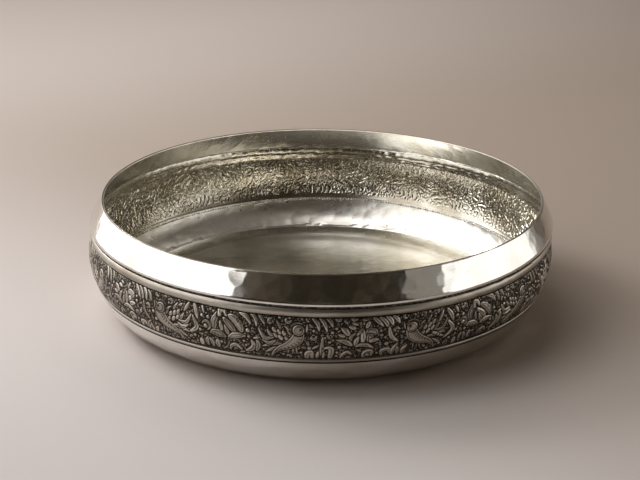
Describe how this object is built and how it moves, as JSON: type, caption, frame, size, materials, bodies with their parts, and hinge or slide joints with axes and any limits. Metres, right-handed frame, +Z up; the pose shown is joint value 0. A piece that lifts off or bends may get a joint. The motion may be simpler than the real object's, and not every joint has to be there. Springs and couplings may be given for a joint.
{
  "type": "bowl",
  "caption": "Wide shallow metal bowl with an in-turned plain collar, a half-round bead and a chased belt of birds and palmettes round its side.",
  "frame": {"origin": "middle of the flat underside, which the bowl stands on", "axes": "+Z up through the mouth, along the bowl's axis of symmetry; +X and +Y lie in the underside, and the pictured side faces -Y"},
  "size_m": [0.3186, 0.3186, 0.08],
  "materials": {
    "tinned_copper": "copper sheet tinned silver-grey, hand planished and burnished",
    "chased_copper": "tinned copper, chased, with a dark brown patina in the ring-punched ground",
    "spelter": "brass spelter, filed flush and tinned over",
    "tin_lining": "wiped tin, warm grey, faintly scratched"
  },
  "bodies": {
    "root": {"floor_disc": "tinned_copper", "floor_braze": "spelter", "lower_wall": "tinned_copper", "lower_braze": "spelter", "fillet_moulding": "tinned_copper", "chased_belt": "chased_copper", "bead_moulding": "tinned_copper", "upper_braze": "spelter", "shoulder_collar": "tinned_copper", "tin_lining": "tin_lining"}
  },
  "joints": []
}
